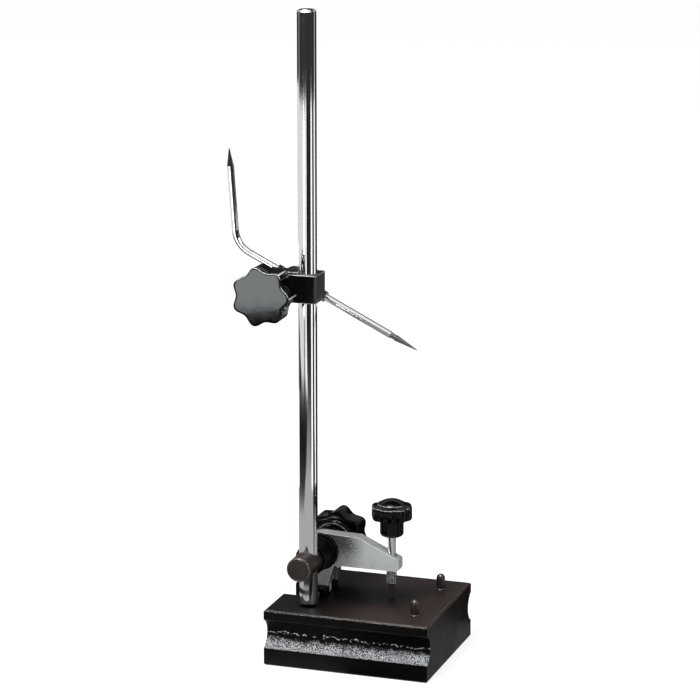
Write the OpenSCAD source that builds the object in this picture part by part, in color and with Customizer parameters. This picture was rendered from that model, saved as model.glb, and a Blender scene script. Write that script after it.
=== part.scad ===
// Surface gauge: a heavy base carries a rocker, and the rocker's swivel bolt holds an upright spindle.
// A clamp on the spindle holds the scriber. A screw at the end of the rocker's arm gives the fine setting.
// Origin: centre of the base's sole. +X runs towards the adjusting screw, +Y to the back, +Z up.

/* [Base] */
// Length of the base, along the rocker's arm
base_l = 86; // [80:1:110]
// Width of the base, across the arm
base_w = 76; // [70:1:100]
// Height of the base
base_h = 29; // [28:0.5:34]
// Height of the plain band along the foot of each side
foot_band_h = 9; // [8:0.5:11]
// Height of the plain band along the top of each side
top_band_h = 5; // [4:0.5:6]
// Depth of the hollow grip groove in the front and back
grip_depth = 5.2; // [3.5:0.1:6]
// Bevel along the edges of the base
base_bevel = 0.7; // [0.3:0.1:1.2]
// Width of the slot that holds the rocker's foot
slot_w = 20; // [18:0.5:24]

/* [Spindle] */
// Diameter of the spindle
spindle_d = 9.5; // [8:0.5:10]
// Length of the spindle
spindle_l = 300; // [230:5:380]
// Distance of the spindle from the left end of the base
spindle_inset = 18.5; // [18:0.5:20]
// Distance of the spindle in front of the base's middle
spindle_offset = 22.5; // [22:0.5:25]
// Bevel at both ends of the spindle
spindle_bevel = 1; // [0.8:0.1:1.5]
// Gap between the spindle's foot and the base
spindle_lift = 0.5; // [0.4:0.1:1.5]

/* [Swivel] */
// Height of the swivel axis above the base
swivel_rise = 22.7; // [22:0.1:26]
// Diameter of the swivel bolt's barrel
barrel_d = 12.5; // [12:0.1:13.5]
// Diameter of the swivel bolt's neck
neck_d = 8; // [6:0.5:9]
// Diameter of the snug around the barrel
snug_d = 16; // [15.5:0.5:18]
// Diameter of the snug's flange
snug_flange_d = 19; // [18.5:0.5:21]
// Thickness of the snug's flange
snug_flange_t = 2.4; // [2:0.1:3]
// Diameter of the spacer behind the rocker
spacer_d = 14; // [12:0.5:17]
// Length of the spacer behind the rocker
spacer_l = 11; // [9:0.5:16]

/* [Rocker] */
// Thickness of the rocker's plate
plate_t = 7; // [6.5:0.1:8]
// Diameter of the rocker's hub
hub_d = 19; // [18:0.5:21]
// Distance from the swivel axis to the adjusting screw
arm_reach = 36.7; // [34:0.5:42]
// Length of the arm beyond the adjusting screw
arm_nose = 4.7; // [4.2:0.1:7]
// Height of the arm at its nose
nose_h = 6.2; // [5:0.1:8]
// Distance of the arm's underside below the swivel axis
arm_drop = 7.2; // [6.5:0.1:8]
// Distance from the swivel axis to the bend in the arm's top
kink_reach = 20; // [16:0.5:24]
// Height of that bend above the swivel axis
kink_rise = 8.9; // [8:0.1:9]
// Depth of the pivot pin below the top of the base
pivot_depth = 6; // [5.5:0.1:6.5]
// Diameter of the pivot pin
pivot_d = 5; // [4:0.1:5.5]

/* [Adjusting screw] */
// Diameter of the adjusting screw
screw_d = 4.1; // [3.5:0.1:4.4]
// Diameter of the threaded bush
bush_d = 5.3; // [5:0.1:6]
// Length of the bush below the arm
bush_drop = 7.1; // [5:0.1:9]
// Largest diameter of the adjusting knob
lift_knob_d = 20.9; // [18:0.1:24]
// Height of the adjusting knob's lobed rim
lift_rim_h = 7.4; // [6:0.1:11]
// Height of the dome on the adjusting knob
lift_dome_h = 3.2; // [2:0.1:5]
// Diameter of the adjusting knob's hub
lift_hub_d = 12.2; // [10:0.1:14]
// Height of the adjusting knob's hub
lift_hub_h = 8.7; // [5:0.1:10]
// Height of the adjusting knob above the swivel axis
lift_knob_rise = 10.7; // [8:0.1:14]

/* [Star knobs] */
// Diameter of a star knob over its lobes
star_d = 30; // [27:0.5:34]
// Diameter of a star knob between its lobes
star_valley_d = 24.4; // [22:0.1:25]
// Thickness of a star knob
star_t = 16; // [14:0.5:18]
// Number of lobes on a star knob
star_lobes = 7; // [5:1:9]

/* [Clamp] */
// Height of the clamp's middle above the sole
clamp_z = 192.7; // [130:0.1:260]
// Height of the clamp block
block_h = 13.9; // [12.5:0.1:18]
// Distance from the spindle's axis to the right end of the block
block_right = 6.2; // [6:0.1:9]
// Distance from the spindle's axis to the left end of the block
block_left = 22; // [20:0.5:26]
// Distance from the spindle's axis to the front of the block
block_front = 6; // [5.8:0.1:8]
// Distance from the spindle's axis to the back of the block
block_back = 9.3; // [7:0.1:11]
// Distance from the spindle's axis to the stud
stud_offset = 14.2; // [13:0.1:16]
// Diameter of the stud
stud_d = 6; // [5:0.1:6.5]
// Length of the collar between the block and the knob
collar_l = 7.3; // [3:0.1:9]
// Diameter of that collar
collar_d = 13; // [11:0.5:16]

/* [Scriber] */
// Diameter of the scriber
scriber_d = 3.6; // [3:0.1:4.2]
// Distance of the scriber behind the spindle's axis
scriber_back = 17; // [16:0.5:20]
// Height of the scriber's axis above the stud's axis
scriber_rise = 0.5; // [0:0.1:0.8]
// Slope of the scriber's straight end, in degrees below level
scriber_slope = 26.2; // [15:0.1:35]
// Length from the stud's axis to the straight end's point
scriber_front_l = 73; // [66:1:95]
// Length from the stud's axis to the corner of the bend
scriber_rear_l = 32.8; // [32:0.5:45]
// Length from that corner to the bent end's point
scriber_arm_l = 49; // [40:1:70]
// Lean of the bent end from upright, in degrees
scriber_lean = 4; // [0:1:10]
// Radius of the bend
bend_r = 13.5; // [10:0.5:18]
// Length of the taper at the bent end
needle_l = 9; // [8:0.5:16]
// Length of the hard point in the straight end
point_l = 15.3; // [12:0.5:18]
// Diameter of the scriber's holder
holder_d = 5.4; // [5.2:0.1:8]

/* [Guide pins] */
// Diameter of a guide pin in its bore
pin_d = 5.4; // [4.5:0.1:6]
// Diameter of a guide pin's upper end
pin_neck_d = 4.4; // [3.5:0.1:4.4]
// Height that a guide pin stands above the base
pin_rise = 8.5; // [6:0.5:12]
// Distance of the guide pins from the right end
pin_inset = 11.5; // [9:0.5:14]
// Distance of the guide pins from the base's middle line
pin_offset = 22; // [18:0.5:26]

/* [Hidden] */
$fn = 96;

// Clearances: a turning or sliding fit, a fixed fit, and the gap between two faces
run_gap = 0.05;
seat_gap = 0.02;
face_gap = 0.1;
side_gap = 0.3;
// Overrun of a cut
over = 1;
// Straight steps in one rounded corner
arc_steps = 6;

// Places that several pieces share
post_x = spindle_inset - base_l / 2;
spindle_y = -spindle_offset;
swivel_z = base_h + swivel_rise;
screw_x = post_x + arm_reach;
pivot_z = base_h - pivot_depth;
arm_under_z = swivel_z - arm_drop;
stud_x = post_x - stud_offset;
scriber_y = spindle_y + scriber_back;
pin_x = base_l / 2 - pin_inset;

// Grip groove of round section
grip_chord = base_h - foot_band_h - top_band_h;
grip_r = (grip_chord * grip_chord / 4 + grip_depth * grip_depth) / (2 * grip_depth);
grip_z = foot_band_h + grip_chord / 2;

// Rocker's foot and its spring
foot_rise = 4.5;
foot_back = 6.5;
foot_nose = 4.5;
foot_r = 5;
foot_end_gap = 0.6;
foot_clear = 4;
sole_t = 5;
slot_l = spindle_inset + foot_r + foot_end_gap;
slot_floor_z = pivot_z - foot_r - foot_clear;
tail_reach = 14.5;
tail_rise = 2;
tail_drop = 4;
leg_gap = 2.5;
leg_half = 5.5;
leg_narrow = 3.3;
leg_shoulder = 6.3;
leg_shoulder_drop = 8.9;
arm_root = 11.5;
outline_round = 1.6;
root_round = 3;
dowel_d = 3;
spring_d = 6;
spring_wire_d = 0.8;
spring_share = 0.72;
spring_x = post_x - spring_share * tail_reach;
pocket_d = spring_d + 4 * side_gap;
spring_turns = 6;
spring_low_z = sole_t;
spring_high_z = pivot_z - tail_drop;
coil_rings = 12;
coil_sides = 6;

// Stop lug under the arm, and the stub that holds it
lug_reach = 7.6;
lug_t = 2.1;
lug_w = 6.4;
lug_l = 7.3;
lug_round = 0.3;
lug_stub_d = 1.8;
lug_stub_l = 4;

// Adjusting screw and its point
bush_seat = 3.5;
point_foot_d = 2.8;
point_stub_d = 2;
point_stub_l = 3;
screw_low_z = arm_under_z - bush_drop;
lift_knob_z = swivel_z + lift_knob_rise;
screw_bite = 3;
screw_in_knob = lift_hub_h + screw_bite;
screw_hole_d = screw_d + 2 * side_gap;
lift_lobes = 8;
lift_lobe_depth = 1.3;
lift_bevel = 1.2;

// Swivel
barrel_bevel = 0.6;
snug_saddle = 1.8;
snug_face_y = -plate_t / 2 - face_gap;
snug_back_y = snug_face_y - snug_flange_t;
barrel_front_y = -base_w / 2;
spacer_y = plate_t / 2 + face_gap;
swivel_knob_y = spacer_y + spacer_l + face_gap;
bolt_in_knob = 12;

// Star knobs
star_hub_d = 19;
star_hub_t = 3;
star_skirt_d = 28.4;
star_round = 1.5;
star_point_share = 1.25;
insert_wall = 2.2;
insert_l = 13;
lobe_steps = 14;
clamp_lobe_angle = 51;
swivel_lobe_angle = 85;

// Clamp
slit_t = 1;
block_round = 1.2;
block_front_y = spindle_y - block_front;
block_back_y = spindle_y + block_back;
collar_y = block_front_y - face_gap;
clamp_knob_y = collar_y - collar_l - face_gap;
stud_in_knob = 12;
boss_d = 11;
boss_wall = 4.4;
stud_in_boss = 5;
holder_front_l = 20;
holder_rear_l = 8.5;

// Scriber
needle_tip_d = 0.4;
point_neck_d = 2.8;
point_neck_l = 3;
point_shoulder_d = 3.2;
point_tip_d = 0.4;
point_stub_in = 5;
point_hole_d = 2;
bend_turn = 90 - scriber_slope - scriber_lean;
// The straight stretches start a little inside the bend and are a hair thinner, so that all are one solid
bend_lap = 0.1;
thinner = 0.02;
straight_d = scriber_d - thinner;
bend_tangent = bend_r * tan(bend_turn / 2);

// Guide pins
pin_ring_show = 0.7;
pin_foot_gap = 0.3;
pin_foot_bevel = 0.8;
ring_h = 1;
ring_z = 13;
ring_t = 0.5;
ring_slit = 1;

function unit(v) = v / norm(v);

// Points of an arc that rounds the corner b between a and c
function corner_arc(a, b, c, r) =
    let (
        u = unit(a - b),
        v = unit(c - b),
        half = acos(u * v) / 2,
        middle = b + unit(u + v) * (r / sin(half)),
        start = b + u * (r / tan(half)) - middle,
        first = atan2(start.y, start.x),
        turn = sign(cross(b - a, c - b)) * (180 - 2 * half)
    )
    r == 0
        ? [b]
        : [for (i = [0 : arc_steps]) let (t = first + turn * i / arc_steps) middle + r * [cos(t), sin(t)]];

// Closed outline with each corner rounded: every entry is [x, y, radius]
function rounded(p) =
    let (n = len(p))
    [for (i = [0 : n - 1])
        let (a = p[(i + n - 1) % n], b = p[i], c = p[(i + 1) % n])
        each corner_arc([a.x, a.y], [b.x, b.y], [c.x, c.y], b[2])];

// Stands a shape drawn in XZ up and gives it a thickness along Y, from y_low
module plate_y(y_low, thickness) {
    translate([0, y_low + thickness, 0])
        rotate([90, 0, 0])
            linear_extrude(thickness) children();
}

// Round bar along Y from one Y to another
module bar_y(d, y_low, y_high) {
    translate([0, y_low, 0])
        rotate([-90, 0, 0])
            cylinder(d = d, h = y_high - y_low);
}

// Round bar along Z with a bevel at each end
module bevelled_bar(d, length, bevel) {
    rotate_extrude()
        polygon([[0, 0], [d / 2 - bevel, 0], [d / 2, bevel], [d / 2, length - bevel],
                 [d / 2 - bevel, length], [0, length]]);
}

// Smooth star outline with round lobes, the first one on the +X side
module star_outline(d, valley_d, lobes) {
    steps = lobes * lobe_steps;
    polygon([for (i = [0 : steps - 1])
        let (
            t = 360 * i / steps,
            crest = pow((1 + cos(lobes * t)) / 2, star_point_share),
            r = valley_d / 2 + (d - valley_d) / 2 * crest
        )
        [r * cos(t), r * sin(t)]]);
}

module base() {
    half_l = base_l / 2;
    half_w = base_w / 2;
    color("#2b2523")
    difference() {
        intersection() {
            rotate([90, 0, 90])
                translate([0, 0, -half_l])
                    linear_extrude(base_l)
                        difference() {
                            polygon([[-half_w, base_bevel], [-half_w + base_bevel, 0],
                                     [half_w - base_bevel, 0], [half_w, base_bevel],
                                     [half_w, base_h - base_bevel], [half_w - base_bevel, base_h],
                                     [-half_w + base_bevel, base_h], [-half_w, base_h - base_bevel]]);
                            for (side = [-1, 1])
                                translate([side * (half_w + grip_r - grip_depth), grip_z])
                                    circle(r = grip_r);
                        }
            plate_y(-half_w, base_w)
                polygon([[-half_l, base_bevel], [-half_l + base_bevel, 0], [half_l - base_bevel, 0],
                         [half_l, base_bevel], [half_l, base_h - base_bevel], [half_l - base_bevel, base_h],
                         [-half_l + base_bevel, base_h], [-half_l, base_h - base_bevel]]);
        }
        // Slot for the rocker's foot
        translate([-half_l - over, -slot_w / 2, slot_floor_z])
            cube([slot_l + over, slot_w, base_h - slot_floor_z + over]);
        // Pocket for the return spring
        translate([spring_x, 0, spring_low_z])
            cylinder(d = pocket_d, h = slot_floor_z - spring_low_z + over);
        // Bore for the pivot pin, drilled from the back
        translate([post_x, 0, pivot_z])
            bar_y(pivot_d + 2 * seat_gap, -slot_w, half_w + over);
        // Bores for the guide pins
        for (side = [-1, 1])
            translate([pin_x, side * pin_offset, -over])
                cylinder(d = pin_d + 2 * run_gap, h = base_h + 2 * over);
    }
}

module pivot_pin() {
    color("#8b8f90")
        translate([post_x, 0, pivot_z])
            bar_y(pivot_d, -slot_w + seat_gap, base_w / 2 - grip_depth - face_gap);
}

module rocker_foot() {
    foot_w = slot_w - 2 * side_gap;
    color("#262221")
    translate([post_x, 0, pivot_z])
    difference() {
        plate_y(-foot_w / 2, foot_w) {
            circle(r = foot_r);
            translate([-foot_back, 0])
                square([foot_back + foot_nose, pivot_depth + foot_rise]);
            polygon(rounded([[0, -tail_drop, 0], [0, tail_rise, 0], [-tail_reach, tail_rise, outline_round],
                             [-tail_reach, -tail_drop, outline_round]]));
        }
        // Bore for the pivot pin
        bar_y(pivot_d + 2 * run_gap, -slot_w, slot_w);
        // Seat for the rocker's leg
        translate([-foot_back - over, -plate_t / 2 - seat_gap, pivot_d / 2 + leg_gap])
            cube([foot_back + foot_nose + 2 * over, plate_t + 2 * seat_gap, pivot_depth + foot_rise]);
        // Bore for the dowel
        translate([0, 0, pivot_depth + dowel_d / 2])
            bar_y(dowel_d + 2 * seat_gap, -slot_w, slot_w);
    }
}

module foot_dowel() {
    color("#8b8f90")
        translate([post_x, 0, pivot_z + pivot_depth + dowel_d / 2])
            bar_y(dowel_d, -slot_w / 2 + 2 * side_gap, slot_w / 2 - 2 * side_gap);
}

module rocker() {
    leg_low = pivot_z + pivot_d / 2 + leg_gap - swivel_z;
    leg_waist = base_h + foot_rise - swivel_z;
    color("#b7bcb8")
    difference() {
        translate([post_x, 0, swivel_z])
        plate_y(-plate_t / 2, plate_t) {
            circle(d = hub_d);
            polygon(rounded([
                [0, hub_d / 2, 0],
                [-leg_half, 0, 0],
                [-leg_half, leg_low, outline_round],
                [leg_narrow, leg_low, outline_round],
                [leg_narrow, leg_waist, root_round],
                [leg_shoulder, -leg_shoulder_drop, root_round / 2],
                [arm_root, -arm_drop, root_round / 2],
                [arm_reach + arm_nose, -arm_drop, outline_round],
                [arm_reach + arm_nose, nose_h - arm_drop, outline_round],
                [kink_reach, kink_rise, root_round],
            ]));
        }
        // Bore for the swivel bolt's neck
        translate([post_x, 0, swivel_z])
            bar_y(neck_d + 2 * run_gap, -plate_t, plate_t);
        // Hole for the adjusting screw, and the seat of its bush
        translate([screw_x, 0, arm_under_z - over])
            cylinder(d = screw_hole_d, h = arm_drop + hub_d);
        translate([screw_x, 0, arm_under_z - over])
            cylinder(d = bush_d + 2 * seat_gap, h = over + bush_seat + seat_gap);
        // Bore for the dowel
        translate([post_x, 0, pivot_z + pivot_depth + dowel_d / 2])
            bar_y(dowel_d + 2 * seat_gap, -plate_t, plate_t);
        // Flat seat and bore for the stop lug
        translate([post_x + lug_reach - lug_t / 2 - seat_gap, -plate_t, arm_under_z - lug_l])
            cube([lug_t + 2 * seat_gap, 2 * plate_t, lug_l]);
        translate([post_x + lug_reach, 0, arm_under_z - over])
            cylinder(d = lug_stub_d + 2 * seat_gap, h = over + lug_stub_l + seat_gap);
    }
}

// Wire of the return spring: rings of points along the coil
function coil_points(n) = [for (i = [0 : n], j = [0 : coil_sides - 1])
    let (
        t = 360 * i / coil_rings,
        b = 360 * j / coil_sides,
        r = (spring_d - spring_wire_d) / 2 + spring_wire_d / 2 * cos(b),
        climb = spring_high_z - spring_low_z - spring_wire_d - 2 * seat_gap,
        z = spring_low_z + seat_gap + spring_wire_d / 2 + climb * i / n + spring_wire_d / 2 * sin(b)
    )
    [r * cos(t), r * sin(t), z]];

function coil_faces(n) = [
    [for (j = [0 : coil_sides - 1]) coil_sides - 1 - j],
    [for (j = [0 : coil_sides - 1]) n * coil_sides + j],
    for (i = [0 : n - 1], j = [0 : coil_sides - 1])
        let (a = i * coil_sides, k = (j + 1) % coil_sides)
        each [[a + j, a + k, a + coil_sides + j], [a + k, a + coil_sides + k, a + coil_sides + j]]];

module return_spring() {
    n = spring_turns * coil_rings;
    color("#9a9d9e")
        translate([spring_x, 0, 0])
            polyhedron(coil_points(n), coil_faces(n));
}

module stop_lug() {
    color("#3b3a36")
    translate([post_x + lug_reach, 0, arm_under_z - seat_gap]) {
        translate([0, 0, -lug_l])
            linear_extrude(lug_l)
                polygon(rounded([[-lug_t / 2, -lug_w / 2, lug_round], [lug_t / 2, -lug_w / 2, lug_round],
                                 [lug_t / 2, lug_w / 2, lug_round], [-lug_t / 2, lug_w / 2, lug_round]]));
        translate([0, 0, -over])
            cylinder(d = lug_stub_d, h = over + lug_stub_l);
    }
}

module screw_bush() {
    color("#c8cccc")
    translate([screw_x, 0, arm_under_z - bush_drop])
    difference() {
        cylinder(d = bush_d, h = bush_drop + bush_seat);
        translate([0, 0, -over])
            cylinder(d = screw_d + 2 * run_gap, h = bush_drop + bush_seat + 2 * over);
    }
}

module adjusting_screw() {
    color("#c8cccc")
    translate([screw_x, 0, screw_low_z + face_gap])
    difference() {
        cylinder(d = screw_d, h = lift_knob_z + screw_in_knob - screw_low_z - face_gap);
        translate([0, 0, -over])
            cylinder(d = point_stub_d + 2 * run_gap, h = over + point_stub_l + face_gap);
    }
}

module screw_point() {
    low_z = base_h + face_gap;
    color("#3a3634")
    translate([screw_x, 0, 0])
    rotate_extrude()
        polygon([[0, low_z], [point_foot_d / 2 - side_gap, low_z], [point_foot_d / 2, low_z + side_gap],
                 [point_foot_d / 2, screw_low_z], [point_stub_d / 2, screw_low_z],
                 [point_stub_d / 2, screw_low_z + point_stub_l], [0, screw_low_z + point_stub_l]]);
}

module adjusting_knob() {
    r = lift_knob_d / 2;
    hub_r = lift_hub_d / 2;
    rim_z = lift_hub_h;
    top_z = lift_hub_h + lift_rim_h;
    dome_base_r = r - lift_bevel;
    dome_r = (dome_base_r * dome_base_r + lift_dome_h * lift_dome_h) / (2 * lift_dome_h);
    dome_half = asin(dome_base_r / dome_r);
    color("#151515")
    translate([screw_x, 0, lift_knob_z])
    difference() {
        union() {
            intersection() {
                linear_extrude(top_z + lift_dome_h)
                    star_outline(lift_knob_d, lift_knob_d - 2 * lift_lobe_depth, lift_lobes);
                rotate_extrude()
                    polygon([
                        [0, rim_z - lift_bevel],
                        [hub_r, rim_z - lift_bevel],
                        [r - lift_bevel / 2, rim_z + lift_bevel / 2],
                        [r + over, rim_z + lift_bevel],
                        [r + over, top_z - lift_bevel / 2],
                        for (i = [0 : arc_steps])
                            let (t = dome_half * (1 - i / arc_steps))
                            [dome_r * sin(t), top_z + lift_dome_h - dome_r * (1 - cos(t))],
                    ]);
            }
            bevelled_bar(lift_hub_d, rim_z + lift_rim_h / 2, lift_bevel);
        }
        translate([0, 0, -over])
            cylinder(d = screw_d + 2 * seat_gap, h = over + screw_in_knob + seat_gap);
    }
}

module swivel_bolt() {
    r = barrel_d / 2;
    tail = swivel_knob_y + bolt_in_knob;
    color("#2e2725")
    translate([post_x, 0, swivel_z])
    difference() {
        rotate([-90, 0, 0])
            rotate_extrude()
                polygon([[0, barrel_front_y], [r - barrel_bevel, barrel_front_y],
                         [r, barrel_front_y + barrel_bevel], [r, snug_back_y - seat_gap],
                         [neck_d / 2, snug_back_y - seat_gap], [neck_d / 2, tail], [0, tail]]);
        translate([0, spindle_y, -barrel_d])
            cylinder(d = spindle_d + 2 * run_gap, h = 2 * barrel_d);
    }
}

module swivel_snug() {
    front_y = spindle_y + spindle_d / 2 - snug_saddle;
    color("#191716")
    translate([post_x, 0, swivel_z])
    difference() {
        union() {
            bar_y(snug_d, front_y, snug_face_y);
            bar_y(snug_flange_d, snug_back_y, snug_face_y);
        }
        bar_y(barrel_d + 2 * seat_gap, front_y - over, snug_back_y);
        bar_y(neck_d + 2 * seat_gap, front_y, snug_face_y + over);
        translate([0, spindle_y, -snug_d])
            cylinder(d = spindle_d + 2 * run_gap, h = 2 * snug_d);
    }
}

module swivel_spacer() {
    color("#1b1919")
    translate([post_x, 0, swivel_z])
    difference() {
        bar_y(spacer_d, spacer_y, spacer_y + spacer_l);
        bar_y(neck_d + 2 * seat_gap, spacer_y - over, spacer_y + spacer_l + over);
    }
}

// Star knob along +Z, its hub's face at zero and its wide face at star_t
module star_knob(bore_d, lobe_angle) {
    insert_d = bore_d + 2 * insert_wall;
    r = star_d / 2;
    difference() {
        intersection() {
            rotate([0, 0, lobe_angle])
                linear_extrude(star_t)
                    star_outline(star_d, star_valley_d, star_lobes);
            rotate_extrude()
                polygon(rounded([
                    [0, 0, 0],
                    [star_hub_d / 2, 0, 0],
                    [star_hub_d / 2, star_hub_t, 0],
                    [star_skirt_d / 2, star_hub_t + star_round, 0],
                    [r, star_t - star_round, 0],
                    [r, star_t, star_round],
                    [0, star_t, 0],
                ]));
        }
        translate([0, 0, -over])
            cylinder(d = insert_d + 2 * seat_gap, h = over + insert_l + seat_gap);
    }
}

// Threaded insert of a star knob
module knob_insert(bore_d) {
    difference() {
        cylinder(d = bore_d + 2 * insert_wall, h = insert_l);
        translate([0, 0, -over])
            cylinder(d = bore_d + 2 * run_gap, h = insert_l + 2 * over);
    }
}

module place_swivel_knob() {
    translate([post_x, swivel_knob_y, swivel_z])
        rotate([-90, 0, 0]) children();
}

module place_clamp_knob() {
    translate([stud_x, clamp_knob_y, clamp_z])
        rotate([90, 0, 0]) children();
}

module swivel_knob() {
    color("#161617")
        place_swivel_knob() star_knob(neck_d, -swivel_lobe_angle);
}

module swivel_knob_insert() {
    color("#b08d4a")
        place_swivel_knob() knob_insert(neck_d);
}

module spindle() {
    color("#d6d9da")
        translate([post_x, spindle_y, base_h + spindle_lift])
            bevelled_bar(spindle_d, spindle_l, spindle_bevel);
}

module clamp_block() {
    color("#171616")
    difference() {
        translate([post_x, spindle_y, clamp_z - block_h / 2])
            linear_extrude(block_h)
                polygon(rounded([
                    [-block_left, -block_front, block_round],
                    [block_right, -block_front, block_round],
                    [block_right, block_back, block_round],
                    [-block_left, block_back, block_round],
                ]));
        translate([post_x, spindle_y, clamp_z - block_h])
            cylinder(d = spindle_d + 2 * run_gap, h = 2 * block_h);
        // Slit that lets the block close on the spindle
        translate([post_x - block_left - over, spindle_y - slit_t / 2, clamp_z - block_h])
            cube([block_left + over, slit_t, 2 * block_h]);
        translate([stud_x, 0, clamp_z])
            bar_y(stud_d + 2 * run_gap, block_front_y - over, block_back_y + over);
    }
}

module clamp_collar() {
    color("#222021")
    translate([stud_x, 0, clamp_z])
    difference() {
        bar_y(collar_d, collar_y - collar_l, collar_y);
        bar_y(stud_d + 2 * run_gap, collar_y - collar_l - over, collar_y + over);
    }
}

module clamp_stud() {
    color("#4a4644")
        translate([stud_x, 0, clamp_z])
            bar_y(stud_d, clamp_knob_y - stud_in_knob, block_back_y + face_gap + stud_in_boss);
}

module clamp_knob() {
    color("#1a1a1b")
        place_clamp_knob() star_knob(stud_d, clamp_lobe_angle);
}

module clamp_knob_insert() {
    color("#b08d4a")
        place_clamp_knob() knob_insert(stud_d);
}

// Frame of the scriber: its straight end runs along +X, its bend turns up
module along_scriber() {
    translate([stud_x, scriber_y, clamp_z + scriber_rise])
        rotate([0, scriber_slope, 0]) children();
}

module scriber_holder() {
    color("#1c1a1a")
    difference() {
        union() {
            along_scriber()
                translate([-holder_rear_l, 0, 0])
                    rotate([0, 90, 0])
                        cylinder(d = holder_d, h = holder_rear_l + holder_front_l);
            translate([stud_x, 0, clamp_z])
                bar_y(boss_d, block_back_y + face_gap, scriber_y + boss_wall);
        }
        along_scriber()
            translate([-holder_front_l, 0, 0])
                rotate([0, 90, 0])
                    cylinder(d = scriber_d + 2 * run_gap, h = 3 * holder_front_l);
        translate([stud_x, 0, clamp_z])
            bar_y(stud_d + 2 * seat_gap, block_back_y, block_back_y + face_gap + stud_in_boss + seat_gap);
    }
}

module scriber() {
    straight_l = scriber_front_l - point_l + scriber_rear_l - bend_tangent;
    arm_l = scriber_arm_l - bend_tangent - needle_l;
    color("#cfd3d4")
    along_scriber() {
        difference() {
            translate([-scriber_rear_l + bend_tangent - bend_lap, 0, 0])
                rotate([0, 90, 0])
                    cylinder(d = straight_d, h = straight_l + bend_lap);
            translate([scriber_front_l - point_l - point_stub_in - seat_gap, 0, 0])
                rotate([0, 90, 0])
                    cylinder(d = point_hole_d + 2 * seat_gap, h = point_stub_in + over);
        }
        // Bend, then the bent end with its needle
        translate([-scriber_rear_l + bend_tangent, 0, bend_r]) {
            rotate([90, 0, 0])
                rotate([0, 0, -90 - bend_turn])
                    rotate_extrude(angle = bend_turn)
                        translate([bend_r, 0]) circle(d = scriber_d);
            rotate([0, bend_turn, 0])
                translate([bend_lap, 0, -bend_r])
                    rotate([0, -90, 0])
                        rotate_extrude()
                            polygon([[0, 0], [straight_d / 2, 0], [straight_d / 2, arm_l + bend_lap],
                                     [needle_tip_d / 2, arm_l + bend_lap + needle_l],
                                     [0, arm_l + bend_lap + needle_l]]);
        }
    }
}

module scriber_point() {
    color("#8e9294")
    along_scriber()
        translate([scriber_front_l - point_l, 0, 0])
            rotate([0, 90, 0])
                rotate_extrude()
                    polygon([[0, -point_stub_in], [point_hole_d / 2, -point_stub_in], [point_hole_d / 2, 0],
                             [point_neck_d / 2, 0], [point_neck_d / 2, point_neck_l],
                             [point_shoulder_d / 2, point_neck_l], [point_tip_d / 2, point_l], [0, point_l]]);
}

// Guide pin with a domed upper end and a groove for its friction ring
module guide_pin(side) {
    r = pin_d / 2;
    neck_r = pin_neck_d / 2;
    shoulder_z = base_h + pin_ring_show;
    top_z = base_h + pin_rise;
    groove_r = r - ring_t - run_gap;
    color("#241f1e")
    translate([pin_x, side * pin_offset, 0])
    rotate_extrude()
        polygon([
            [0, pin_foot_gap],
            [r - pin_foot_bevel, pin_foot_gap],
            [r, pin_foot_gap + pin_foot_bevel],
            [r, ring_z - face_gap],
            [groove_r, ring_z - face_gap],
            [groove_r, ring_z + ring_h + face_gap],
            [r, ring_z + ring_h + face_gap],
            [r, shoulder_z - face_gap],
            [r - face_gap, shoulder_z],
            [neck_r, shoulder_z],
            for (i = [0 : arc_steps])
                let (t = 90 * i / arc_steps)
                [neck_r * cos(t), top_z - neck_r * (1 - sin(t))],
        ]);
}

module guide_ring(side) {
    color("#9a9d9e")
    translate([pin_x, side * pin_offset, ring_z])
    difference() {
        cylinder(d = pin_d, h = ring_h);
        translate([0, 0, -over])
            cylinder(d = pin_d - 2 * ring_t, h = ring_h + 2 * over);
        translate([0, -ring_slit / 2, -over])
            cube([pin_d, ring_slit, ring_h + 2 * over]);
    }
}

base();
pivot_pin();
rocker_foot();
foot_dowel();
rocker();
return_spring();
stop_lug();
screw_bush();
adjusting_screw();
screw_point();
adjusting_knob();
swivel_bolt();
swivel_snug();
swivel_spacer();
swivel_knob();
swivel_knob_insert();
spindle();
clamp_block();
clamp_collar();
clamp_stud();
clamp_knob();
clamp_knob_insert();
scriber_holder();
scriber();
scriber_point();
guide_pin(-1);  // guide_pin_front
guide_pin(1);  // guide_pin_back
guide_ring(-1);  // guide_ring_front
guide_ring(1);  // guide_ring_back
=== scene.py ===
# %% [markdown]
# # Surface gauge
# This lesson dresses a surface gauge: a heavy base, a rocker with a fine screw, an upright spindle
# and a clamp that holds a bent scriber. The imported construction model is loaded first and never
# moved. Everything after it adds finishes, and finer shapes where the construction is too plain.

# %% Load the construction model
import math

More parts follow.
